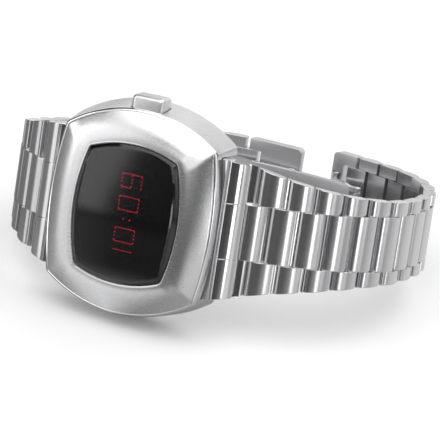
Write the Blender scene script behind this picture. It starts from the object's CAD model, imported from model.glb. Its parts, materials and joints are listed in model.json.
import json
import math

import bmesh
import bpy
from mathutils import Matrix, Vector


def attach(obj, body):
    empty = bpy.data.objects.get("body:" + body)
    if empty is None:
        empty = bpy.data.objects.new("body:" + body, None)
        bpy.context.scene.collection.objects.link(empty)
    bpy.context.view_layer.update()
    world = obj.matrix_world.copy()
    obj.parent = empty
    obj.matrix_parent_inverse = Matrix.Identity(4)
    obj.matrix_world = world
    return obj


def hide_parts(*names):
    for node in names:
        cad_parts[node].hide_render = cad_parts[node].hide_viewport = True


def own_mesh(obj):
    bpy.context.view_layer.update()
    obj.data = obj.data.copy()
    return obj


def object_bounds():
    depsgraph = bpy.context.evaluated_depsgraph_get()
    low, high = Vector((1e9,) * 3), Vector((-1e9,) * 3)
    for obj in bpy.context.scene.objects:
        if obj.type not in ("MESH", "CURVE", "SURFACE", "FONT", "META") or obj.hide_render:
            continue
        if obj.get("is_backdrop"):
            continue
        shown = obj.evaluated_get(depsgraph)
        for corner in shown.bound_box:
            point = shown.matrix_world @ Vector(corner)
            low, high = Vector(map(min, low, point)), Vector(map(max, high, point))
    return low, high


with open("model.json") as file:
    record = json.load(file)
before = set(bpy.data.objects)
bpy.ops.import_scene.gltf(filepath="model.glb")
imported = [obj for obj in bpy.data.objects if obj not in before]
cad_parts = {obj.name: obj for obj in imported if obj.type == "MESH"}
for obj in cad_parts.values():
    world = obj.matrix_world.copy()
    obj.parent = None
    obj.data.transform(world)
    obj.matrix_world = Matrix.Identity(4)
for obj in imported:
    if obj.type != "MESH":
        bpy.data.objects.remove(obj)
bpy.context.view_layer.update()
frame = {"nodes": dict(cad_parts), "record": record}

# The watch lies on the nine o'clock edge of its case and on its bracelet, tipped back and sideways.
# Its own frame has x to six o'clock, y to the back and z to three o'clock, in millimetres. stand takes
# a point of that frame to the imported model's frame, from the place of the case back's flat face.
MM = 0.001
TIP_BACK, TIP_SIDE, BACK_FACE_Y = 14.3, -3.9, 9.7
tilt = Matrix.Rotation(math.radians(TIP_SIDE), 4, "Y") @ Matrix.Rotation(math.radians(-TIP_BACK), 4, "X")
record = frame["record"]
back_face = Vector(next(m for m in record["mounts"] if m["name"] == "back_face")["pos_m"])
case_middle = back_face - tilt @ Vector((0, BACK_FACE_Y * MM, 0))
stand = Matrix.Translation(case_middle) @ tilt @ Matrix.Scale(MM, 4)
unstand = stand.inverted()

# Camera at the photograph's angle: yaw, pitch and roll in the watch's frame, and the point beside
# the case's middle that it aims at.
VIEW_YAW, VIEW_PITCH, VIEW_ROLL = 0.3426, 0.2092, 0.1511
VIEW_DISTANCE, VIEW_FOCAL_PX, VIEW_PX = 650.0137, 3525.792, 440
VIEW_AIM_RIGHT, VIEW_AIM_UP = 16.6251, -1.3122
SENSOR_MM, CLIP_NEAR, CLIP_FAR = 36, 0.01, 20
forward = Vector((-math.sin(VIEW_YAW) * math.cos(VIEW_PITCH), math.cos(VIEW_YAW) * math.cos(VIEW_PITCH),
                  -math.sin(VIEW_PITCH)))
sideways = forward.cross(Vector((0, 0, 1))).normalized()
rise = sideways.cross(forward)
right = sideways * math.cos(VIEW_ROLL) + rise * math.sin(VIEW_ROLL)
upward = rise * math.cos(VIEW_ROLL) - sideways * math.sin(VIEW_ROLL)
eye = right * VIEW_AIM_RIGHT + upward * VIEW_AIM_UP - forward * VIEW_DISTANCE
camera = bpy.data.objects.new("camera", bpy.data.cameras.new("camera"))
bpy.context.scene.collection.objects.link(camera)
bpy.context.scene.camera = camera
looking = Matrix((right, upward, -forward)).transposed().to_4x4()
camera.matrix_world = Matrix.Translation(stand @ eye) @ tilt @ looking
camera.data.sensor_width = SENSOR_MM
camera.data.lens = VIEW_FOCAL_PX / VIEW_PX * SENSOR_MM
camera.data.clip_start, camera.data.clip_end = CLIP_NEAR, CLIP_FAR


# Case: a cushion shaped shell turned and milled from one block of steel. Its sides are arched, its
# domed face is satin brushed, and a narrow polished line runs round the front edge.
def input_of(node, key):
    """Input of a node by its name, with _ for a space, or by its number, as i0 or i1."""
    if key[0] == "i" and key[1:].isdigit():
        return node.inputs[int(key[1:])]
    return node.inputs[key.replace("_", " ")]


class Wire:
    """One output of a material's node tree. Sums on it add Math nodes; other nodes come from make."""

    def __init__(self, tree, socket):
        self.tree, self.socket = tree, socket

    def make(self, kind, settings=None, stops=None, out=0, **values):
        node = self.tree.nodes.new(kind)
        for key, value in (settings or {}).items():
            setattr(node, key, value)
        if stops:
            ramp = node.color_ramp
            while len(ramp.elements) < len(stops):
                ramp.elements.new(1)
            for element, (place, shade) in zip(ramp.elements, stops):
                element.position = place
                element.color = (shade, shade, shade, 1)
        for key, value in values.items():
            if isinstance(value, Wire):
                self.tree.links.new(value.socket, input_of(node, key))
            else:
                input_of(node, key).default_value = value
        return Wire(self.tree, node.outputs[out])

    def math(self, operation, *others):
        numbered = {f"i{k + 1}": other for k, other in enumerate(others)}
        return self.make("ShaderNodeMath", {"operation": operation}, i0=self, **numbered)

    def __add__(self, other):
        return self.math("ADD", other)

    def __sub__(self, other):
        return self.math("SUBTRACT", other)

    def __rsub__(self, other):
        return self.make("ShaderNodeMath", {"operation": "SUBTRACT"}, i0=other, i1=self)

    def __mul__(self, other):
        return self.math("MULTIPLY", other)

    __radd__, __rmul__ = __add__, __mul__

    def between(self, low, high):
        """0 below low, 1 above high, smooth in between."""
        return self.make("ShaderNodeMapRange", {"interpolation_type": "SMOOTHSTEP"}, Value=self,
                         From_Min=low, From_Max=high)

    def tint(self, dark, pale):
        return self.make("ShaderNodeMix", {"data_type": "RGBA"}, out=2, i0=self, i6=(*dark, 1), i7=(*pale, 1))

    def part(self, axis):
        return self.make("ShaderNodeSeparateXYZ", out=axis, Vector=self)

    def spread(self, scale):
        """The same coordinates, stretched by three factors."""
        return self.make("ShaderNodeMapping", Vector=self, Scale=scale)

    def noise(self, scale=1.0, detail=2.0, roughness=0.5):
        return self.make("ShaderNodeTexNoise", Vector=self, Scale=scale, Detail=detail, Roughness=roughness)


def finish_of(name, color, metallic, roughness, **fixed):
    """New material; returns it, its shader node and a wire on the coordinates in the watch's frame."""
    material = bpy.data.materials.new(name)
    material.use_nodes = True
    tree = material.node_tree
    shader = tree.nodes["Principled BSDF"]
    fixed.update(Base_Color=(*color, 1), Metallic=metallic, Roughness=roughness)
    for key, value in fixed.items():
        input_of(shader, key).default_value = value
    place = Wire(tree, tree.nodes.new("ShaderNodeTexCoord").outputs["Object"])
    local = place.make("ShaderNodeMapping", Vector=place, Rotation=tuple(tilt.inverted().to_euler()),
                       Scale=(1 / MM, 1 / MM, 1 / MM), Location=tuple(unstand.translation))
    return material, shader, local


def feed(shader, **wires):
    for key, wire in wires.items():
        wire.tree.links.new(wire.socket, input_of(shader, key))


BAND_STRETCH, CLOUD_SCALE, ROUGH_SWING, BRUSH_METRES = 0.22, 0.16, 0.06, 0.00002


def brushed(name, color, roughness, along=(0.3, 24, 24), depth=0.5, contrast=0.12, coords=None):
    """Satin steel whose fine lines are stretched by along: low along the lines and high across them."""
    material, shader, local = finish_of(name, color, 1.0, roughness)
    if coords:
        local = local.make("ShaderNodeAttribute", {"attribute_name": coords}, out=1)
    lines = local.spread(along).noise(1.0, 4.0, 0.65)
    bands = local.spread(tuple(a * BAND_STRETCH for a in along)).noise(1.0, 3.0, 0.6)
    cloud = local.noise(CLOUD_SCALE, 2.0)
    tone = (lines * 0.6 + bands * 0.25 + cloud * 0.15).between(0.2, 0.8)
    dark = tuple(c * (1 - contrast) for c in color)
    pale = tuple(min(1, c * (1 + contrast)) for c in color)
    scratches = lines * 0.6 + bands * 0.4
    feed(shader, Base_Color=tone.tint(dark, pale), Roughness=roughness - ROUGH_SWING / 2 + tone * ROUGH_SWING,
         Normal=local.make("ShaderNodeBump", Strength=depth, Distance=BRUSH_METRES, Height=scratches))
    return material


def put(mesh, name, body, materials, replaces, matrix=None, mirrored=False, sharp=32):
    """Places a mesh that is written in the watch's millimetres, and hands it to its body."""
    mesh.transform(stand @ (matrix or Matrix.Identity(4)))
    if mirrored:
        mesh.flip_normals()
    mesh.shade_smooth()
    mesh.set_sharp_from_angle(angle=math.radians(sharp))
    piece = bpy.data.objects.new(name, mesh)
    bpy.context.scene.collection.objects.link(piece)
    marks, own = [face.material_index for face in mesh.polygons], list(mesh.materials)
    if own:
        marks = [materials.index(own[mark]) for mark in marks]
    mesh.materials.clear()
    for material in materials:
        mesh.materials.append(material)
    for face, mark in zip(mesh.polygons, marks):
        face.material_index = min(mark, len(materials) - 1)
    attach(piece, body)
    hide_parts(*replaces)
    return piece


# Outlines of the case and of its window: half across, half along, then the radii of sides and ends.
CASE = (16.5, 19.4, 72.0, 25.0)
WINDOW = (10.4, 13.1, 37.5, 21.0)
AROUND, CORNER_SOFT = 288, 0.1


def cushion_point(shape, inset, y, k):
    """Point k of an outline of two flat and two short arcs, moved inwards by inset."""
    half_x, half_z, side_r, end_r = (value - inset for value in shape)
    c, s = math.cos(2 * math.pi * k / AROUND), math.sin(2 * math.pi * k / AROUND)
    side_at, end_at = half_x - side_r, half_z - end_r
    side = abs(c) * side_at + math.sqrt(side_r ** 2 - (side_at * s) ** 2)
    end = abs(s) * end_at + math.sqrt(end_r ** 2 - (end_at * c) ** 2)
    reach = min(side, end) - CORNER_SOFT * math.log(1 + math.exp(-abs(side - end) / CORNER_SOFT))
    return (reach * c, y, reach * s)


def cushion_ring(shape, inset, y):
    return [cushion_point(shape, inset, y, k) for k in range(AROUND)]


def disc(x, y, radius, count=48):
    turns = [2 * math.pi * k / count for k in range(count)]
    return [(x + radius * math.cos(a), y + radius * math.sin(a)) for a in turns]


def circle_ring(radius, y):
    return [(x, y, z) for x, z in disc(0, 0, radius, AROUND)]


def loft(name, rings, marks=(), ends=(False, False), wrap=False):
    """Skin through rings of points with one count. marks gives the material of each band between rings."""
    mesh = bpy.data.meshes.new(name)
    count, total = len(rings[0]), len(rings)
    faces, slots = [], []
    for r in range(total if wrap else total - 1):
        for k in range(count):
            a, b, n = r * count, ((r + 1) % total) * count, (k + 1) % count
            faces.append((a + k, a + n, b + n, b + k))
            slots.append(marks[r] if r < len(marks) else 0)
    if ends[0]:
        faces.append(tuple(range(count - 1, -1, -1)))
    if ends[1]:
        faces.append(tuple((total - 1) * count + k for k in range(count)))
    mesh.from_pydata([p for ring in rings for p in ring], [], faces)
    for face, slot in zip(mesh.polygons, slots):
        face.material_index = slot
    work = bmesh.new()
    work.from_mesh(mesh)
    bmesh.ops.recalc_face_normals(work, faces=work.faces)
    work.to_mesh(mesh)
    work.free()
    return mesh


def prism(name, points, low, high, axis="Z"):
    """Closed prism on an outline of two coordinates: (x, y) for axis Z, (x, z) for axis Y."""
    rings = [[(a, b, h) if axis == "Z" else (a, h, b) for a, b in points] for h in (low, high)]
    return loft(name, rings, ends=(True, True))


def box(x, y, z):
    """Block between pairs of coordinates, used as a cutter."""
    return prism("box", [(x[0], z[0]), (x[1], z[0]), (x[1], z[1]), (x[0], z[1])], y[0], y[1], "Y")


def rounded_rect(cx, cy, half_x, half_y, corner, per=8):
    points = []
    for k, (sx, sy) in enumerate(((1, 1), (-1, 1), (-1, -1), (1, -1))):
        mid_x, mid_y = cx + sx * (half_x - corner), cy + sy * (half_y - corner)
        for j in range(per + 1):
            a = math.pi / 2 * (k + j / per)
            points.append((mid_x + corner * math.cos(a), mid_y + corner * math.sin(a)))
    return points


def evaluated(mesh, add):
    """The mesh after the modifiers that add puts on it."""
    holder = bpy.data.objects.new("holder", mesh)
    bpy.context.scene.collection.objects.link(holder)
    add(holder)
    bpy.context.view_layer.update()
    result = bpy.data.meshes.new_from_object(holder.evaluated_get(bpy.context.evaluated_depsgraph_get()))
    bpy.data.objects.remove(holder)
    return result


def carve(mesh, cutters):
    """The mesh less its cutters."""
    tools = []
    for cutter in cutters:
        tools.append(bpy.data.objects.new("cutter", cutter))
        bpy.context.scene.collection.objects.link(tools[-1])

    def add(holder):
        for tool in tools:
            change = holder.modifiers.new("cut", "BOOLEAN")
            change.operation, change.solver, change.object = "DIFFERENCE", "EXACT", tool
    result = evaluated(mesh, add)
    for tool in tools:
        bpy.data.objects.remove(tool)
    return result


case_satin = brushed("case_satin", (0.76, 0.76, 0.77), 0.27, along=(0.28, 30, 30), depth=0.12, contrast=0.08)
case_polish = brushed("case_polish", (0.86, 0.86, 0.87), 0.1, depth=0.06, contrast=0.05)
SATIN, POLISH = 0, 1

# The shell's profile, as insets and depths: the band from back to front, the polished line, the foot of
# the face, the dome, the window's lip and ledge, and the well for the module and the case back.
BAND_DEPTH, BAND_FLARE, BAND_STEPS = 8.0, 1.0, (1.0, 0.98, 0.8, 0.6, 0.4, 0.1)
EDGE_LINE = ((-0.06, 0.6), (-0.02, 0.42), (0.07, 0.2), (0.18, 0.05), (0.3, -0.05), (0.42, -0.1))
FACE_FOOT = ((0.48, -0.05), (0.55, -0.06))
FACE_EDGE, FACE_START, FACE_RISE, FACE_STEPS, LIP = 0.62, 0.13, 2.3, 24, -0.32
LEDGE, LEDGE_Y, WELL_Y = 1.0, -0.2, 1.5
LIP_LINE = ((-0.24, -FACE_RISE - 0.02), (-0.06, -FACE_RISE + 0.04), (0.0, -FACE_RISE + 0.25), (0.0, LEDGE_Y),
            (LEDGE, LEDGE_Y), (LEDGE, WELL_Y))
MODULE_R, BACK_R, BACK_SEAT_Y = 12.2, 13.15, 7.6
WELL_LINE = ((MODULE_R, WELL_Y), (MODULE_R, BACK_SEAT_Y), (BACK_R, BACK_SEAT_Y), (BACK_R, BAND_DEPTH))

edge_ring, lip_ring = cushion_ring(CASE, FACE_EDGE, 0.0), cushion_ring(WINDOW, LIP, 0.0)
case_rings = [(cushion_ring(CASE, -BAND_FLARE * u, BAND_DEPTH * u), SATIN) for u in BAND_STEPS]
case_rings += [(cushion_ring(CASE, inset, y), POLISH) for inset, y in EDGE_LINE]
case_rings += [(cushion_ring(CASE, inset, y), SATIN) for inset, y in FACE_FOOT]
for k in range(FACE_STEPS + 1):
    u = k / FACE_STEPS
    y = -FACE_START - (FACE_RISE - FACE_START) * math.sin(math.pi / 2 * u)
    ring = [(a[0] * (1 - u) + b[0] * u, y, a[2] * (1 - u) + b[2] * u) for a, b in zip(edge_ring, lip_ring)]
    case_rings.append((ring, SATIN if k < FACE_STEPS else POLISH))
case_rings += [(cushion_ring(WINDOW, inset, y), SATIN) for inset, y in LIP_LINE]
case_rings += [(circle_ring(radius, y), SATIN) for radius, y in WELL_LINE]
case_mesh = loft("case_shell", [ring for ring, _ in case_rings], [mark for _, mark in case_rings], wrap=True)

# Openings: the button's pocket with its stem's and spring's holes, and at each end the notch for the
# bracelet, the spring bar's hole and two screw holes.
BUTTON_Y, POCKET_HALF_X, POCKET_HALF_Y, POCKET_CORNER, POCKET_DEPTHS = 3.0, 3.35, 2.45, 0.9, (18.2, 24)
STEM_HOLE_R, STEM_HOLE_END, SPRING_HOLE_R, SPRING_FOOT, HOLE_TOP = 0.94, 11, 1.75, 17.0, 19
NOTCH_X, NOTCH_REACH, NOTCH_HALF, NOTCH_DEPTHS = 13.85, 8, 13.45, (1.9, 9.9)
BAR_X, BAR_Y, BAR_HOLE_R, BAR_HOLE_HALF = 15.1, 5.3, 0.44, 14.65
SCREW_X, SCREW_Z, SCREW_HOLE_R, SCREW_DEPTHS = 11, 12, 0.53, (5, 9)
pocket_line = rounded_rect(0, BUTTON_Y, POCKET_HALF_X, POCKET_HALF_Y, POCKET_CORNER)
case_cutters = [prism("pocket", pocket_line, *POCKET_DEPTHS),
                prism("stem_hole", disc(0, BUTTON_Y, STEM_HOLE_R), STEM_HOLE_END, HOLE_TOP),
                prism("spring_hole", disc(0, BUTTON_Y, SPRING_HOLE_R), SPRING_FOOT, HOLE_TOP)]
for side in (-1, 1):
    notch = sorted((side * NOTCH_X, side * (NOTCH_X + NOTCH_REACH)))
    case_cutters.append(box(notch, NOTCH_DEPTHS, (-NOTCH_HALF, NOTCH_HALF)))
    bar_hole = disc(side * BAR_X, BAR_Y, BAR_HOLE_R)
    case_cutters.append(prism("bar_hole", bar_hole, -BAR_HOLE_HALF, BAR_HOLE_HALF))
    for end in (-1, 1):
        screw_hole = disc(side * SCREW_X, end * SCREW_Z, SCREW_HOLE_R, 24)
        case_cutters.append(prism("screw_hole", screw_hole, *SCREW_DEPTHS, "Y"))
case_shell = carve(case_mesh, case_cutters)
put(case_shell, "case_shell", "case", (case_satin, case_polish), ["case_body"])

# Crystal: dark tinted glass with a ground and polished bevel all round, pressed into the window. Its
# crown curves from nine to three o'clock.
CROWN_R, CROWN_SIDE_R, CROWN_Y = 110.0, 400.0, -3.52
SEAT_Y, BEVEL_START, CRYSTAL_GAP, BEVEL_TRIES = -0.5, -2.35, 0.1, 12
BEVEL_STEPS, CROWN_STEPS = (0.06, 0.5, 0.95), (0.995, 0.96, 0.9, 0.8, 0.68, 0.54, 0.38, 0.2, 0.04)


def crown(x, z):
    return CROWN_Y + CROWN_R - math.sqrt(CROWN_R ** 2 - z ** 2) + x ** 2 / (2 * CROWN_SIDE_R)


def bevel_point(k, share):
    """Place part of the way up the bevel, which meets the crown at a depth that changes round the rim."""
    inset = 1.0
    for _ in range(BEVEL_TRIES):
        x, _, z = cushion_point(WINDOW, inset, 0, k)
        top = crown(x, z)
        inset = CRYSTAL_GAP + BEVEL_START - top
    inset_here = CRYSTAL_GAP + (inset - CRYSTAL_GAP) * share
    return cushion_point(WINDOW, inset_here, BEVEL_START + (top - BEVEL_START) * share, k)


crystal_rings = [cushion_ring(WINDOW, CRYSTAL_GAP, SEAT_Y), cushion_ring(WINDOW, CRYSTAL_GAP, BEVEL_START)]
crystal_rings += [[bevel_point(k, share) for k in range(AROUND)] for share in BEVEL_STEPS]
top_ring = [bevel_point(k, 1.0) for k in range(AROUND)]
crystal_rings += [[(x * u, crown(x * u, z * u), z * u) for x, _, z in top_ring] for u in CROWN_STEPS]
dark_glass, glass_shader, local = finish_of(
    "dark_glass", (0.08, 0.08, 0.09), 0.0, 0.05, Transmission_Weight=1.0, IOR=1.0,
    Coat_Weight=1.0, Coat_IOR=1.7, Coat_Roughness=0.1)
smear = local.noise(0.5, 3.0)
feed(glass_shader, Roughness=0.04 + smear * 0.03,
     Base_Color=smear.tint((0.07, 0.07, 0.08), (0.09, 0.09, 0.1)))
crystal = loft("crystal_glass", crystal_rings, ends=(True, True))
put(crystal, "crystal_glass", "case", (dark_glass,), ["crystal"], sharp=20)

# Lit figures: chips of red light emitting diodes bonded in a row on the display block behind the glass,
# heads towards twelve o'clock. Each bar of a figure is a row of small dashes, which a node tree lays
# along thin lines.
DIGIT_H, DIGIT_W, DIGIT_X, FIGURE_Y, BAR_GAP = 3.9, 2.6, -0.35, -0.37, 0.24
FIGURES = (("1", -3.28), ("0", -1.67), ("0", 0.63), ("9", 2.28))
LIT = {"0": "abcdef", "1": "bc", "9": "abcdfg"}
DASHES, DASH_THICK, DASH_LONG = 4, 0.18, 0.33
DOT_SPREAD, DOT_Z, DOT_R, DOT_FRONT, DOT_BACK = 0.17, -1.32, 0.14, 0.06, 0.03
dash_lines = []
for shown, share in FIGURES:
    top, foot = DIGIT_X - DIGIT_H / 2, DIGIT_X + DIGIT_H / 2
    left = (share - 0.5) * DIGIT_W
    far = left + DIGIT_W
    ends = {"a": (top, left, top, far), "b": (top, far, DIGIT_X, far), "c": (DIGIT_X, far, foot, far),
            "d": (foot, left, foot, far), "e": (DIGIT_X, left, foot, left), "f": (top, left, DIGIT_X, left),
            "g": (DIGIT_X, left, DIGIT_X, far)}
    for bar in LIT[shown]:
        x0, z0, x1, z1 = ends[bar]
        run = math.hypot(x1 - x0, z1 - z0)
        gap_x, gap_z = (x1 - x0) / run * BAR_GAP, (z1 - z0) / run * BAR_GAP
        dash_lines.append(((x0 + gap_x, FIGURE_Y, z0 + gap_z), (x1 - gap_x, FIGURE_Y, z1 - gap_z)))
dots = [prism("dot", disc(DIGIT_X + dot * DOT_SPREAD * DIGIT_H, DOT_Z, DOT_R, 20), FIGURE_Y - DOT_FRONT,
              FIGURE_Y + DOT_BACK, "Y") for dot in (-1, 1)]


class Grow:
    """Writes one Geometry Nodes tree; a call adds a node, links or sets its inputs and returns its output."""

    def __init__(self, name, inputs):
        self.tree = bpy.data.node_groups.new(name, "GeometryNodeTree")
        self.tree.interface.new_socket("Geometry", in_out="INPUT", socket_type="NodeSocketGeometry")
        self.sockets = {}
        for label in inputs:
            socket = self.tree.interface.new_socket(label, in_out="INPUT", socket_type="NodeSocketFloat")
            self.sockets[label] = socket.identifier
        self.tree.interface.new_socket("Geometry", in_out="OUTPUT", socket_type="NodeSocketGeometry")
        self.given = self.tree.nodes.new("NodeGroupInput").outputs

    def __call__(self, kind, settings=None, out=0, **values):
        node = self.tree.nodes.new(kind)
        for key, value in (settings or {}).items():
            setattr(node, key, value)
        for key, value in values.items():
            for item in value if isinstance(value, list) else [value]:
                if isinstance(item, bpy.types.NodeSocket):
                    self.tree.links.new(item, input_of(node, key))
                else:
                    input_of(node, key).default_value = item
        return node.outputs[out]

    def math(self, operation, a, b):
        return self("ShaderNodeMath", {"operation": operation}, i0=a, i1=b)

    def close(self, geometry, material, **where):
        """Ends the tree. where may give the Selection of faces that take the material."""
        real = self("GeometryNodeRealizeInstances", Geometry=geometry)
        done = self("GeometryNodeSetMaterial", Geometry=real, Material=material, **where)
        self.tree.links.new(done, self.tree.nodes.new("NodeGroupOutput").inputs[0])

    def apply(self, mesh, **values):
        """The mesh that the tree makes of a mesh, for these values of its inputs."""
        def add(holder):
            change = holder.modifiers.new("grow", "NODES")
            change.node_group = self.tree
            for label, value in values.items():
                change[self.sockets[label.replace("_", " ")]] = value
        return evaluated(mesh, add)


def joined(name, meshes):
    work = bmesh.new()
    for mesh in meshes:
        work.from_mesh(mesh)
    result = bpy.data.meshes.new(name)
    work.to_mesh(result)
    work.free()
    return result


led_red, led_shader, local = finish_of("led_red", (0.6, 0.01, 0.02), 0.0, 0.4, Emission_Strength=9.0)
glow = local.noise(3.0, 2.0)
feed(led_shader, Emission_Color=glow.tint((0.75, 0.0, 0.02), (1.0, 0.02, 0.05)),
     Base_Color=glow.tint((0.4, 0.0, 0.01), (0.6, 0.01, 0.02)))
dash_net = bpy.data.meshes.new("dash_net")
dash_net.from_pydata([point for pair in dash_lines for point in pair],
                     [(2 * k, 2 * k + 1) for k in range(len(dash_lines))], [])
dashes = Grow("dash_rows", ("Thickness", "Length"))
line = dashes("GeometryNodeMeshToCurve", i0=dashes.given[0])
row = dashes("GeometryNodeResampleCurve", Curve=line, Count=DASHES)
grain = dashes("GeometryNodeMeshUVSphere", Segments=12, Rings=8, Radius=0.5)
tangent = dashes("GeometryNodeInputTangent")
aim = dashes("FunctionNodeAlignEulerToVector", {"axis": "Z"}, Vector=tangent)
thick = dashes.given["Thickness"]
size = dashes("ShaderNodeCombineXYZ", X=thick, Y=thick, Z=dashes.given["Length"])
laid = dashes("GeometryNodeInstanceOnPoints", Points=row, Instance=grain, Rotation=aim, Scale=size)
dashes.close(laid, led_red)
figures = joined("led_figures", [dashes.apply(dash_net, Thickness=DASH_THICK, Length=DASH_LONG), *dots])
put(figures, "led_dashes", "case", (led_red,), ["led_digits"])

# Push button at three o'clock: a turned and milled steel cap with a rounded rim on a grooved stem,
# which slides in its pocket in the case band.
BUTTON_HALF_X, BUTTON_HALF_Y, BUTTON_CORNER, CORNER_LEAST, BUTTON_FOOT_INSET = 3.2, 2.3, 0.9, 0.15, 0.12
BUTTON_SKIRT, BUTTON_WALL, BUTTON_TOP, BUTTON_DOME_R = 18.9, 1.0, 22.0, 25.0
RIM_ROUND, RIM_DROP, RIM_STEPS, DOME_STEPS = 0.75, 0.8, 8, (0.35, 0.8, 1.2, 1.45)
STEM_LINE = ((0.8, 11.1), (0.9, 11.2), (0.9, 11.38), (0.63, 11.4), (0.63, 11.7), (0.9, 11.72), (0.9, 18.6),
             (0.9, BUTTON_SKIRT + 0.1))
button_satin = brushed("button_satin", (0.78, 0.78, 0.79), 0.36, along=(0.3, 22, 22), depth=0.2)


def cap_outline(inset):
    corner = max(BUTTON_CORNER - inset, CORNER_LEAST)
    return rounded_rect(0, BUTTON_Y, BUTTON_HALF_X - inset, BUTTON_HALF_Y - inset, corner)


def wall_ring(inset, z):
    return [(x, y, z) for x, y in cap_outline(inset)]


def top_ring_under(inset, drop):
    """Ring of the cap moved inwards by inset, and drop under its domed top."""
    dome = BUTTON_TOP - BUTTON_DOME_R
    return [(x, y, dome + math.sqrt(BUTTON_DOME_R ** 2 - x ** 2 - (y - BUTTON_Y) ** 2) - drop)
            for x, y in cap_outline(inset)]


cap_rings = [wall_ring(BUTTON_FOOT_INSET, BUTTON_SKIRT), wall_ring(0.0, BUTTON_SKIRT + BUTTON_FOOT_INSET),
             wall_ring(0.0, BUTTON_SKIRT + BUTTON_WALL)]
for k in range(RIM_STEPS + 1):
    turn = math.pi / 2 * k / RIM_STEPS
    inset, drop = RIM_ROUND * (1 - math.cos(turn)), RIM_ROUND * (1 - math.sin(turn)) * RIM_DROP
    cap_rings.append(top_ring_under(inset, drop))
cap_rings += [top_ring_under(RIM_ROUND + step, 0.0) for step in DOME_STEPS]
stem_rings = [[(x, y, z) for x, y in disc(0, BUTTON_Y, radius, 32)] for radius, z in STEM_LINE]
button_parts = [loft("cap", cap_rings, ends=(True, True)), loft("stem", stem_rings, ends=(True, True))]
put(joined("button", button_parts), "button_cap", "button", (button_satin,), ["pusher"])

# Return spring of the button: three turns of steel wire round the stem, between the case's sleeve and
# the cap. It shortens as the button goes in.
SPRING_R, SPRING_WIRE, SPRING_TURNS, SPRING_PRESSED = 1.35, 0.14, 3.0, 0.72


def plain(name, dark, pale, roughness, scale=2.0, metallic=0.0):
    """Finish with a fine grain and a slow change of tone."""
    material, shader, local = finish_of(name, pale, metallic, roughness)
    tone = (local.noise(scale * 4, 3.0) * 0.5 + local.noise(scale * 0.3, 2.0) * 0.5).between(0.25, 0.75)
    bumps = local.noise(scale * 10, 2.0)
    feed(shader, Base_Color=tone.tint(dark, pale), Roughness=roughness - 0.06 + tone * 0.12,
         Normal=local.make("ShaderNodeBump", Strength=0.2, Distance=0.00003, Height=bumps))
    return material


spring_steel = plain("spring_steel", (0.5, 0.5, 0.51), (0.6, 0.6, 0.61), 0.3, metallic=1.0)
coil = Grow("spring_coil", ("Radius", "Wire", "Turns", "Height"))
wound = coil.given["Radius"]
helix = coil("GeometryNodeCurveSpiral", Resolution=32, Rotations=coil.given["Turns"], Start_Radius=wound,
             End_Radius=wound, Height=coil.given["Height"])
section = coil("GeometryNodeCurvePrimitiveCircle", Resolution=12, Radius=coil.given["Wire"])
coil.close(coil("GeometryNodeCurveToMesh", Curve=helix, Profile_Curve=section, Fill_Caps=True), spring_steel)
spring = coil.apply(bpy.data.meshes.new("spring_start"), Radius=SPRING_R, Wire=SPRING_WIRE,
                    Turns=SPRING_TURNS, Height=BUTTON_SKIRT - SPRING_FOOT - 2 * SPRING_WIRE)
spring = put(spring, "return_spring", "case", (spring_steel,), ["pusher_spring"],
             Matrix.Translation((0, BUTTON_Y, SPRING_FOOT + SPRING_WIRE)))
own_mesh(spring)

# Bracelet links: three rows of milled steel bars on pressed pins. Each bar has a low polished bead, a
# groove and a satin crown; one node tree stretches a base bar into all the rows.
PITCH, SKIN_OUT, SKIN_IN, CORE, LINK_GAP, ROW_GAP = 5.4, 1.5, 1.0, 5.25, 0.22, 0.05
WIDTH_START, WIDTH_END, TAPER_LINKS, TAPER_POWER = 12.15, 7.5, 8, 2.3
QUARTER, BAR_HALF, LEAN = PITCH / 4, 1.0, SKIN_IN * math.tan(math.radians(17))
LINK_COUNT, LINK_PIN_R, PIN_INSET = {"six": 14, "twelve": 13}, 0.52, 0.4
# Side view of the bead and groove from a bar's leading edge, then what shapes the crown and its tail.
BEAD = ((0, -0.05), (0.04, -0.5), (0.08, -0.66), (0.17, -0.72), (0.27, -0.71), (0.36, -0.63), (0.42, -0.5))
GROOVE = ((0.45, -0.3), (0.54, -0.3), (0.62, -0.66))
CROWN_START, CROWN_DIP, CROWN_COUNT, ROLL_FROM = 0.67, 0.5, 14, 0.86
TAIL, TAIL_OUT, EDGE_OUT = 0.12, -0.12, -0.05
# Ends of a bar, which are broken slightly: share of the broken edge, and how far in from the end.
END_BREAK, END_STEPS = 0.035, ((1.0, 0.0), (0.4, 0.02), (0.0, 0.06), (0.0, 0.12))


def half_width(i):
    return WIDTH_END + (WIDTH_START - WIDTH_END) * max(0, 1 - i / TAPER_LINKS) ** TAPER_POWER


def crowned(a, b):
    """Outer edge of a bar's side view from a to b: polished bead, groove, then a crown. Pairs and marks."""
    run = [(a + along, out) for along, out in BEAD + GROOVE]
    marks = [POLISH] * len(BEAD) + [SATIN] * len(GROOVE)
    half = (b - TAIL - a - CROWN_START) / 2
    for k in range(CROWN_COUNT + 1):
        u = -math.cos(math.pi * k / CROWN_COUNT)
        roll = max(0.0, -u - ROLL_FROM)
        run.append((a + CROWN_START + half * (1 + u), -SKIN_OUT + CROWN_DIP * u * u + roll))
        marks.append(SATIN)
    return run + [(b - TAIL, TAIL_OUT), (b, EDGE_OUT)], marks + [SATIN, SATIN]


link_satin = brushed("link_satin", (0.72, 0.72, 0.73), 0.2, along=(0.4, 12, 90), depth=0.05, contrast=0.05,
                     coords="grain_place")
link_polish = brushed("link_polish", (0.86, 0.86, 0.87), 0.12, depth=0.08, contrast=0.06)


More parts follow.
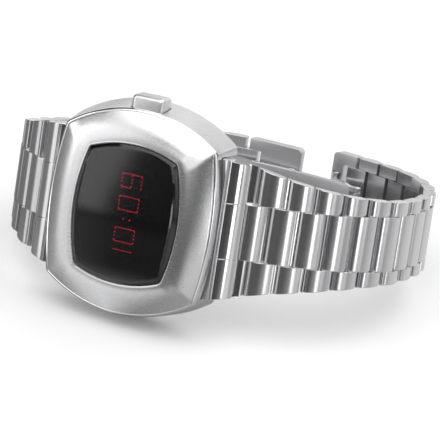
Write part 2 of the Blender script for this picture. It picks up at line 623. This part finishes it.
def bar_mesh(name, outer, marks, inner):
    """Base bar: a side view from z -1 to 1 with broken ends. grain_place keeps its unstretched place."""
    loop = outer + inner
    mid_x, mid_y = sum(p[0] for p in loop) / len(loop), sum(p[1] for p in loop) / len(loop)
    low_end = [(share * END_BREAK, -BAR_HALF + depth) for share, depth in END_STEPS]
    rings = []
    for inset, z in low_end + [(inset, -z) for inset, z in reversed(low_end)]:
        rings.append([(x - inset * 0.35 * (1 if x > mid_x else -1) * min(1, abs(x - mid_x)),
                       y + inset * 0.8 * (1 if y < mid_y else -1), z) for x, y in loop])
    mesh = loft(name, rings, ends=(True, True))
    place = mesh.attributes.new("grain_place", "FLOAT_VECTOR", "POINT")
    for v, item in zip(mesh.vertices, place.data):
        item.vector = v.co
    for face in mesh.polygons:
        first = min(v % len(loop) for v in face.vertices)
        face.material_index = marks[first] if first < len(marks) else SATIN
    mesh.materials.append(link_satin)
    mesh.materials.append(link_polish)
    return mesh


bar_from, bar_to = -QUARTER + LINK_GAP / 2, QUARTER + PITCH / 2 - LINK_GAP / 2
outer_line, outer_marks = crowned(bar_from, bar_to)
link_inner = [(bar_to, 0.0), (bar_to - LEAN, SKIN_IN), (bar_from + LEAN, SKIN_IN), (bar_from, 0.0)]
link_base = bar_mesh("link_bar", outer_line, outer_marks, link_inner)

rows = Grow("link_rows", ("Wide", "Narrow", "Core", "Row gap", "From", "To", "Core shift", "Pin step"))
given = rows.given
along = rows("ShaderNodeSeparateXYZ", i0=rows("GeometryNodeInputPosition"))
across = along.node.outputs[2]
share = rows("ShaderNodeMapRange", {"clamp": True}, Value=along, From_Min=given["From"], From_Max=given["To"])
edge = rows("ShaderNodeMix", {"data_type": "FLOAT"}, i0=share, i2=given["Wide"], i3=given["Narrow"])
upper = rows.math("GREATER_THAN", across, 0.0)


def moved(geometry, along_x):
    by = rows("ShaderNodeCombineXYZ", X=along_x)
    return rows("GeometryNodeTransform", Geometry=geometry, Translation=by)


def stretched(low, high):
    """The base bar with its two ends moved out to low and high."""
    down, up = rows.math("ADD", low, BAR_HALF), rows.math("SUBTRACT", high, BAR_HALF)
    shift = rows("ShaderNodeMix", {"data_type": "FLOAT"}, i0=upper, i2=down, i3=up)
    return rows("GeometryNodeSetPosition", Geometry=given[0], Offset=rows("ShaderNodeCombineXYZ", Z=shift))


inner_edge = rows.math("ADD", given["Core"], given["Row gap"])
right_row = stretched(inner_edge, edge)
left_row = stretched(rows.math("MULTIPLY", edge, -1.0), rows.math("MULTIPLY", inner_edge, -1.0))
middle = moved(stretched(rows.math("MULTIPLY", given["Core"], -1.0), given["Core"]), given["Core shift"])
pin_length = rows.math("MULTIPLY", rows.math("SUBTRACT", given["Narrow"], PIN_INSET), 2.0)
pin = rows("GeometryNodeMeshCylinder", Vertices=24, Radius=LINK_PIN_R, Depth=pin_length)
pins = rows("GeometryNodeJoinGeometry", Geometry=[pin, moved(pin, given["Pin step"])])
# Only the bars have a grain_place, so a face without one is a pin's and takes the polish.
grain_place = rows("GeometryNodeInputNamedAttribute", {"data_type": "FLOAT_VECTOR"}, Name="grain_place")
grain_reach = rows("ShaderNodeVectorMath", {"operation": "LENGTH"}, out=1, i0=grain_place)
rows.close(rows("GeometryNodeJoinGeometry", Geometry=[right_row, left_row, middle, pins]), link_polish,
           Selection=rows.math("LESS_THAN", grain_reach, 0.1))

hinge_at = {j["name"]: unstand @ Vector(j["pos_m"]) for j in record["behaviour"]["joints"] if "pos_m" in j}


def side_frame(at, onward, mirrored):
    """Matrix from a link's own frame, x onward and y inwards, to the watch's frame."""
    ahead = (onward - at).normalized()
    inwards = Vector((ahead.y, -ahead.x, 0)) if mirrored else Vector((-ahead.y, ahead.x, 0))
    turn = Matrix((ahead, inwards, Vector((0, 0, 1)))).transposed().to_4x4()
    return Matrix.Translation(at) @ turn


for side, total in LINK_COUNT.items():
    mirrored = side == "twelve"
    for i in range(total):
        hinge, next_hinge = hinge_at[f"hinge_{side}_{i + 1:02d}"], hinge_at[f"hinge_{side}_{i + 2:02d}"]
        link = rows.apply(link_base.copy(), Wide=half_width(i), Narrow=half_width(i + 1), Core=CORE,
                          Row_gap=ROW_GAP, From=-QUARTER, To=3 * QUARTER, Core_shift=PITCH / 2,
                          Pin_step=PITCH / 2)
        name = f"link_{side}_{i + 1:02d}"
        put(link, name + "_bars", name, (link_satin, link_polish), [name],
            side_frame(hinge, next_hinge, mirrored), mirrored)

# End links: solid milled steel pieces that hook over the spring bars, polished all over, with two narrow
# beads at the case, a crown, and a recess at the hinge. The first middle bar stands in that recess.
HINGE_X, HINGE_Y, END_HEADING, NOSE, END_RIM, END_FOOT = 22.4, 7.5, math.radians(30), (16.7, 2.0), -1.0, 8.7
END_HALF, END_ROW_GAP, BAR_BORE_R, BAR_BORE_HALF, PIN_CLEAR = 13.3, 0.03, 0.79, 15, 0.6
# Beads and grooves as distances along the line from nose to rim and heights over it.
END_BEADS = ((0.0, 0.02), (0.02, 0.1), (0.07, 0.2), (0.27, 0.14), (0.3, 0.1), (0.34, -0.1), (0.4, -0.1),
             (0.43, 0.2), (0.49, 0.3), (0.67, 0.22), (0.7, 0.16), (0.75, -0.1), (0.82, -0.1), (0.87, 0.16))
MAIN_FROM, MAIN_TO, MAIN_RISE, MAIN_DIP, MAIN_STEPS, RECESS, RECESS_WALL = 0.9, 4.6, 0.6, 0.42, 14, -0.8, 0.7
HOOK = ((15.1, 8.2), (13.97, 7.2), (13.97, 3.1), (15.1, 2.1))
FIRST_FROM, FIRST_TO = -2.6 * QUARTER, QUARTER - LINK_GAP / 2


def off_hinge(x, y):
    """Place in the watch's frame of a place beside the six o'clock side's first hinge."""
    c, s = math.cos(END_HEADING), math.sin(END_HEADING)
    return (HINGE_X + x * c - y * s, HINGE_Y + x * s + y * c)


rim_x = -QUARTER - LINK_GAP / 2
rim = off_hinge(rim_x, END_RIM)
chord = math.hypot(rim[0] - NOSE[0], rim[1] - NOSE[1])
chord_x, chord_y = (rim[0] - NOSE[0]) / chord, (rim[1] - NOSE[1]) / chord
slope = list(END_BEADS)
for k in range(MAIN_STEPS + 1):
    u = -math.cos(math.pi * k / MAIN_STEPS)
    slope.append((MAIN_FROM + (MAIN_TO - MAIN_FROM) * (1 + u) / 2, MAIN_RISE - MAIN_DIP * u * u))
slope += [(MAIN_TO + 0.04, 0.1), (MAIN_TO + 0.06, RECESS - RECESS_WALL), (chord, RECESS)]
end_line = [(NOSE[0] + t * chord_x + h * chord_y, NOSE[1] + t * chord_y - h * chord_x) for t, h in slope]
end_heel = [off_hinge(rim_x, 0.0), off_hinge(rim_x - LEAN, SKIN_IN), (HINGE_X - 3 * QUARTER, END_FOOT)]
end_base = bar_mesh("end_bar", end_line, [], end_heel + list(HOOK))
first_line, first_marks = crowned(FIRST_FROM, FIRST_TO)
first_inner = [(FIRST_TO, 0.0), (FIRST_TO - LEAN, SKIN_IN), (FIRST_FROM + 0.2, SKIN_IN), (FIRST_FROM, 0.0)]
first_bar = bar_mesh("first_bar", first_line, first_marks, first_inner)
for v in first_bar.vertices:
    v.co.z += (CORE - BAR_HALF) * (1 if v.co.z > 0 else -1)
    v.co.x, v.co.y = off_hinge(v.co.x, v.co.y)
for side in LINK_COUNT:
    mirrored = side == "twelve"
    flip = Matrix.Scale(-1, 4, (1, 0, 0)) if mirrored else Matrix.Identity(4)
    body = rows.apply(end_base.copy(), Wide=END_HALF, Narrow=half_width(0), Core=CORE, Row_gap=END_ROW_GAP,
                      From=NOSE[0], To=HINGE_X, Core_shift=0.0, Pin_step=0.0)
    pinless = bmesh.new()
    pinless.from_mesh(body)
    pins = [v for v in pinless.verts if math.hypot(v.co.x, v.co.y) < PIN_CLEAR]
    bmesh.ops.delete(pinless, geom=pins, context="VERTS")
    for face in pinless.faces:
        face.material_index = POLISH
    pinless.from_mesh(first_bar)
    whole = bpy.data.meshes.new("end_link")
    pinless.to_mesh(whole)
    pinless.free()
    whole = carve(whole, [prism("bar_bore", disc(BAR_X, BAR_Y, BAR_BORE_R), -BAR_BORE_HALF, BAR_BORE_HALF)])
    put(whole, f"end_link_{side}_bars", "case", (link_satin, link_polish), [f"end_link_{side}"],
        flip, mirrored)

# Clasp end pieces: flat milled steel plates on the last hinge's pin, forked round the middle bar, with a
# groove inside for the barrel of the folding arm. The one at twelve o'clock is long and covers the blade.
PLATE_CORNER, PLATE_SOFT, FORK_LENGTH, FORK_BACK, FORK_SHORT, CUT_HALF = 0.9, 0.07, 2.0, -6, -0.62, 4
BARREL_R, BARREL_SINK, BLADE_HALF, PIECE_EDGE, PIECE_PIN_R, PIECE_PIN_INSET = 0.75, 0.5, 3.6, 0.5, 0.54, 0.5
# Reach from the hinge, play of the barrel in its groove, and turn on from the last link, in degrees.
END_PIECES = {"six": (4.6, 0.3, 4.0), "twelve": (10.6, 0.05, 14.0)}
clasp_steel = brushed("clasp_steel", (0.7, 0.7, 0.71), 0.29, along=(0.3, 30, 30), depth=0.015, contrast=0.03)


def soften(mesh, width):
    """The mesh with its edges rounded over."""
    def add(holder):
        change = holder.modifiers.new("soft", "BEVEL")
        change.width, change.segments, change.limit_method = width, 3, "ANGLE"
        change.angle_limit = math.radians(35)
        change.use_clamp_overlap = True
    return evaluated(mesh, add)


def rod(name, x, y, radius, low, high, count=40, soft=0.08):
    """Pin along z with softly broken ends."""
    ends = ((radius - 2 * soft, low - soft * 0.4), (radius - soft, low), (radius, low + soft),
            (radius, high - soft), (radius - soft, high), (radius - 2 * soft, high + soft * 0.4))
    return loft(name, [[(px, py, z) for px, py in disc(x, y, r, count)] for r, z in ends], ends=(True, True))


def corner_cutter(reach, end):
    """What rounds off one outer corner of a plate."""
    out = WIDTH_END + 0.3
    line = [(reach + 0.3, end * out), (reach - PLATE_CORNER, end * out)]
    for k in range(13):
        a = math.pi / 24 * k
        line.append((reach - PLATE_CORNER + PLATE_CORNER * math.sin(a),
                     end * (WIDTH_END - PLATE_CORNER + PLATE_CORNER * math.cos(a))))
    return prism("corner", line if end < 0 else line[::-1], -CUT_HALF, CUT_HALF, "Y")


for side, (reach, play, turn_on) in END_PIECES.items():
    mirrored, last = side == "twelve", LINK_COUNT[side]
    at, before = hinge_at[f"hinge_{side}_{last + 1:02d}"], hinge_at[f"hinge_{side}_{last:02d}"]
    frame_of = side_frame(at, at + (at - before), mirrored) @ Matrix.Rotation(math.radians(turn_on), 4, "Z")
    start = -QUARTER + LINK_GAP / 2
    side_view = [(start, 0.0), (start, -SKIN_OUT + 0.5), (0.0, -SKIN_OUT), (reach - PLATE_CORNER, -SKIN_OUT),
                 (reach, -SKIN_OUT + PLATE_CORNER / 2), (reach, SKIN_IN), (start + LEAN, SKIN_IN)]
    plate = soften(prism("plate", side_view, -WIDTH_END, WIDTH_END), PLATE_SOFT)
    groove = disc(reach - BARREL_R - PIECE_EDGE, SKIN_IN + BARREL_R - BARREL_SINK, BARREL_R + play)
    cutters = [box((FORK_BACK, FORK_LENGTH), (-CUT_HALF, CUT_HALF), (-CORE - ROW_GAP, CORE + ROW_GAP)),
               prism("groove", groove, -BLADE_HALF - 0.1, BLADE_HALF + 0.1)]
    if mirrored:
        cutters += [box((FORK_BACK, FORK_SHORT), (-CUT_HALF, CUT_HALF), sorted((end * CORE, end * 9)))
                    for end in (-1, 1)]
    cutters += [corner_cutter(reach, end) for end in (-1, 1)]
    pin_half = WIDTH_END - PIECE_PIN_INSET
    pin = rod("pin", 0, 0, PIECE_PIN_R, -pin_half, pin_half, 32)
    whole = joined("end_piece", [carve(plate, cutters), pin])
    put(whole, f"end_piece_{side}_plate", f"end_piece_{side}", (clasp_steel,),
        [f"end_piece_{side}"], frame_of, mirrored)

# Folding arms and blade: curved steel strips on rivets. Each arm ends in a barrel that lies in its end
# piece; the blade's cheeks hold both arm eyes.
BLADE_R, BLADE_T, BLADE_SOFT, EYE_RISE, RIVET_R, MID_GAP = 60.0, 1.1, 0.14, 0.5, 0.4, 1.2
ARM_LENGTH, ARM_HALF, WEB_T, WEB_SOFT, ARM_OPEN, CLEARANCE = 13.4, 2.6, 0.9, 0.12, 34.0, 0.03
# How far, in radians, the strips stop short of the seat's and eye's angles, and where a neck runs.
WEB_ENDS, BLADE_ENDS, NECK_FROM, NECK_TO = (0.004, 0.006), 0.016, 0.017, 0.001
arm_rise = BLADE_T / 2 + 0.05 + WEB_T / 2
eye_radius, seat_radius = BLADE_R + EYE_RISE, BLADE_R + BLADE_T / 2 + BARREL_R + 0.05
mid_angle = math.asin((BARREL_R + MID_GAP / 2) / seat_radius)
eye_turn = math.acos((eye_radius ** 2 + seat_radius ** 2 - ARM_LENGTH ** 2) / (2 * eye_radius * seat_radius))
eye_angle = mid_angle + eye_turn
eye_at = (eye_radius * math.sin(eye_angle), eye_radius * math.cos(eye_angle) - BLADE_R)
seat_at = (seat_radius * math.sin(mid_angle), seat_radius * math.cos(mid_angle) - BLADE_R)
blade_left, blade_right = hinge_at["arm_twelve_swing"], hinge_at["arm_six_swing"]
along_blade = (blade_right - blade_left).normalized()
blade_turn = Matrix.Rotation(math.atan2(along_blade.y, along_blade.x), 4, "Z")
blade_middle = Matrix.Translation((blade_left + blade_right) / 2)
clasp_frame = blade_middle @ blade_turn @ Matrix.Translation((0, -eye_at[1], 0))


def strip(radius, thick, low, high, count=24):
    """Side view of a curved strip between two angles round the centre of the blade's curve."""
    angles = [low + (high - low) * k / count for k in range(count + 1)]
    sides = ((radius + thick / 2, angles), (radius - thick / 2, angles[::-1]))
    return [(r * math.sin(a), r * math.cos(a) - BLADE_R) for r, turns in sides for a in turns]


def arm():
    side_view = strip(BLADE_R + arm_rise, WEB_T, mid_angle + WEB_ENDS[0], eye_angle - WEB_ENDS[1])
    web = soften(prism("web", side_view, -ARM_HALF, ARM_HALF), WEB_SOFT)
    bore = prism("bore", disc(*eye_at, RIVET_R + 0.04), -9, 9)
    eyes = carve(rod("eyes", *eye_at, BARREL_R, -ARM_HALF, ARM_HALF), [bore])
    barrel = rod("barrel", *seat_at, BARREL_R, -BLADE_HALF + CLEARANCE, BLADE_HALF - CLEARANCE)
    return joined("arm", [web, eyes, barrel])


to_eye = Matrix.Translation((*eye_at, 0))
fold = to_eye @ Matrix.Rotation(math.radians(-ARM_OPEN), 4, "Z") @ to_eye.inverted()
put(arm(), "arm_six_strip", "clasp_arm_six", (clasp_steel,), ["clasp_arm_six"],
    clasp_frame @ fold)
put(arm(), "arm_twelve_strip", "clasp_arm_twelve", (clasp_steel,), ["clasp_arm_twelve"],
    clasp_frame @ Matrix.Scale(-1, 4, (1, 0, 0)), True)

blade_view = strip(BLADE_R, BLADE_T, -eye_angle + BLADE_ENDS, eye_angle - BLADE_ENDS, 40)
neck_view = strip(BLADE_R + 0.1, BLADE_T, eye_angle - NECK_FROM, eye_angle - NECK_TO, 3)
blade_parts = [soften(prism("blade", blade_view, -BLADE_HALF, BLADE_HALF), BLADE_SOFT)]
for end in (-1, 1):
    eye_x, eye_y = end * eye_at[0], eye_at[1]
    neck = [(end * x, y) for x, y in (neck_view if end > 0 else neck_view[::-1])]
    for cheek in (-1, 1):
        low, high = sorted((cheek * (ARM_HALF + 0.1), cheek * BLADE_HALF))
        blade_parts.append(rod("cheek", eye_x, eye_y, BARREL_R, low + CLEARANCE, high - CLEARANCE))
        blade_parts.append(prism("neck", neck, low + CLEARANCE, high - CLEARANCE))
    blade_parts.append(rod("rivet", eye_x, eye_y, RIVET_R, -BLADE_HALF, BLADE_HALF, 24, 0.05))
blade = joined("blade", blade_parts)
put(blade, "blade_strip", "clasp_blade", (clasp_steel,), ["clasp_blade"], clasp_frame)

# Inner pieces, screws and spring bars: moulded, stamped or turned, and set in the case before its back is
# screwed on. They keep the solids' own shape and take their finish here.
inner_finish = {
    "seal_rubber": plain("seal_rubber", (0.02, 0.02, 0.02), (0.04, 0.04, 0.04), 0.7),
    "mask_black": plain("mask_black", (0.004, 0.004, 0.005), (0.008, 0.008, 0.009), 0.6, 3.0),
    "display_resin": plain("display_resin", (0.012, 0.004, 0.004), (0.022, 0.006, 0.006), 0.35, 1.0),
    "board_green": plain("board_green", (0.015, 0.1, 0.04), (0.03, 0.16, 0.07), 0.45, 3.0),
    "chip_black": plain("chip_black", (0.02, 0.02, 0.02), (0.04, 0.04, 0.04), 0.55, 6.0),
    "can_metal": plain("can_metal", (0.62, 0.62, 0.62), (0.72, 0.72, 0.72), 0.25, metallic=1.0),
    "frame_plastic": plain("frame_plastic", (0.07, 0.06, 0.05), (0.1, 0.09, 0.08), 0.5, 2.0),
    "cell_steel": plain("cell_steel", (0.62, 0.62, 0.63), (0.74, 0.74, 0.75), 0.22, metallic=1.0),
    "contact_brass": plain("contact_brass", (0.66, 0.48, 0.22), (0.8, 0.62, 0.32), 0.28, metallic=1.0),
    "screw_steel": plain("screw_steel", (0.5, 0.5, 0.51), (0.62, 0.62, 0.63), 0.25, metallic=1.0),
    "back_steel": brushed("back_steel", (0.7, 0.7, 0.71), 0.3, along=(20, 20, 0.28)),
    "case_steel": case_satin, "link_steel": link_satin, "clasp_steel": clasp_steel,
    "button_steel": button_satin, "spring_steel": spring_steel}
slot_of = {part["node"]: part["material_slot"] for part in record["subparts"]}
for name, node in frame["nodes"].items():
    node.data.materials.clear()
    node.data.materials.append(inner_finish.get(slot_of[name], case_satin))

# Plain pale floor. Reflections see it darker on some sides, as with the dark cards that stand round
# polished steel in a studio: its tone there goes by the bearing from the case, close to it and far off.
FLOOR_HALF, FLOOR_TINT, FLOOR_GLOW, NEAR_FROM, NEAR_TO = 3, 0.93, 0.05, 0.035, 0.075
CASE_EAST, CASE_NORTH = -0.008, -0.03
# Stops of bearing in degrees, from the front and to the right, and tone.
FAR_TONES = ((-180, 0.7), (-135, 0.7), (-118, 0.16), (-80, 0.16), (-68, 0.9), (-52, 0.7), (-36, 0.7),
             (-29, 0.4), (-20, 0.07), (0, 0.05), (26, 0.08), (34, 0.8), (47, 0.8), (56, 0.3), (64, 0.6),
             (78, 0.6), (88, 0.3), (100, 0.45), (125, 0.7), (180, 0.8))
NEAR_TONES = ((-180, 0.7), (-135, 0.6), (-118, 0.2), (-80, 0.25), (-50, 0.8), (-20, 0.9), (10, 0.6),
              (40, 0.3), (75, 0.4), (180, 0.6))
RAY_KINDS = ("Is Camera Ray", "Is Transmission Ray", "Is Glossy Ray")
corners = ((-1, -1), (1, -1), (1, 1), (-1, 1))
floor_mesh = bpy.data.meshes.new("floor")
floor_mesh.from_pydata([(x * FLOOR_HALF, y * FLOOR_HALF, 0) for x, y in corners], [], [(0, 1, 2, 3)])
floor = bpy.data.objects.new("floor", floor_mesh)
bpy.context.scene.collection.objects.link(floor)
floor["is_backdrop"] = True
floor_white, floor_shader, _ = finish_of("floor_white", (FLOOR_TINT, FLOOR_TINT, FLOOR_TINT), 0.0, 0.9,
                                         Emission_Strength=FLOOR_GLOW)


def rays_of(tree):
    """Wires that are 1 on camera rays or transmitted rays, and on glossy rays."""
    ray = tree.nodes.new("ShaderNodeLightPath")
    camera_ray, through, glossy = (Wire(tree, ray.outputs[kind]) for kind in RAY_KINDS)
    return camera_ray + through, glossy


def ramp_of(bearing, tones):
    stops = [((degrees + 180) / 360, tone) for degrees, tone in tones]
    return bearing.make("ShaderNodeValToRGB", stops=stops, Fac=bearing)


seen, mirrored_ray = rays_of(floor_white.node_tree)
spot = Wire(floor_white.node_tree, floor_white.node_tree.nodes.new("ShaderNodeTexCoord").outputs["Object"])
east, south = spot.part(0) - CASE_EAST, (spot.part(1) - CASE_NORTH) * -1.0
bearing = east.math("ARCTAN2", south) * (0.5 / math.pi) + 0.5
near = 1 - (east * east + south * south).math("SQRT").between(NEAR_FROM, NEAR_TO)
tone = ramp_of(bearing, FAR_TONES) * (1 - near) + ramp_of(bearing, NEAR_TONES) * near
level = 1 - mirrored_ray * (1 - tone)
feed(floor_shader, Base_Color=level.tint((0, 0, 0), (FLOOR_TINT, FLOOR_TINT, FLOOR_TINT)),
     Emission_Color=seen.tint((0, 0, 0), (1, 1, 1)))
floor_mesh.materials.append(floor_white)

# Room: white behind the watch for the camera, and dim for everything else.
ROOM_LIGHT, ROOM_MIRRORED = 0.14, 0.08
world = bpy.data.worlds.new("studio")
world.use_nodes = True
bpy.context.scene.world = world
sky = world.node_tree.nodes["Background"]
seen, mirrored_ray = rays_of(world.node_tree)
sky.inputs["Color"].default_value = (1, 1, 1, 1)
strength = ROOM_LIGHT + seen * (1 - ROOM_LIGHT) - mirrored_ray * ROOM_MIRRORED
world.node_tree.links.new(strength.socket, sky.inputs["Strength"])

# Soft panels: large ones over the watch and left of its face light it, narrow strips draw the bright
# lines on the bars, and faint ones fill its front, its right side and its back.
AIM_HEIGHT = 0.02


def panel(name, around, above, distance, size, radiance, upright=True):
    """around is its bearing from the front, to the right, and above its height, both in degrees."""
    light = bpy.data.lights.new(name, "AREA")
    light.shape = "RECTANGLE"
    light.size, light.size_y = size
    light.energy = radiance * math.pi * size[0] * size[1]
    holder = bpy.data.objects.new(name, light)
    bpy.context.scene.collection.objects.link(holder)
    a, e = math.radians(around), math.radians(above)
    towards = Vector((math.sin(a) * math.cos(e), -math.cos(a) * math.cos(e), math.sin(e)))
    holder.location = towards * distance + Vector((0, 0, AIM_HEIGHT))
    holder.rotation_mode = "QUATERNION"
    facing = Vector((-towards.x, -towards.y, 0)) if upright else -towards
    holder.rotation_quaternion = facing.to_track_quat("-Z", "Y")


panel("overhead", 50, 80, 0.6, (1.0, 0.95), 1.22, upright=False)
panel("left_of_face", -43.6, 22, 0.6, (0.44, 0.46), 1.15)
panel("over_face", -12, 62, 0.6, (0.85, 0.44), 0.76, upright=False)
panel("back_top", 165, 48, 0.6, (0.6, 0.4), 1.1, upright=False)
panel("front_fill", 6, 26, 0.6, (0.4, 0.2), 1.05, upright=False)
panel("face_fill", 1, 17, 0.6, (0.17, 0.15), 0.6)
panel("right_strip", 51, 3.5, 0.6, (0.13, 0.1), 3.1)
panel("far_strip", 99, 20, 0.6, (0.13, 0.45), 1.0)
panel("middle_strip", 72, 20, 0.62, (0.1, 0.45), 1.5)
panel("right_fill", 92, 20, 0.75, (0.75, 0.5), 0.33)
panel("left_strip", -64, 20, 0.62, (0.09, 0.45), 2.3)
panel("behind", 185, 14, 0.8, (1.7, 0.35), 0.9)

bpy.context.scene.view_settings.view_transform = "Standard"
low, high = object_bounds()
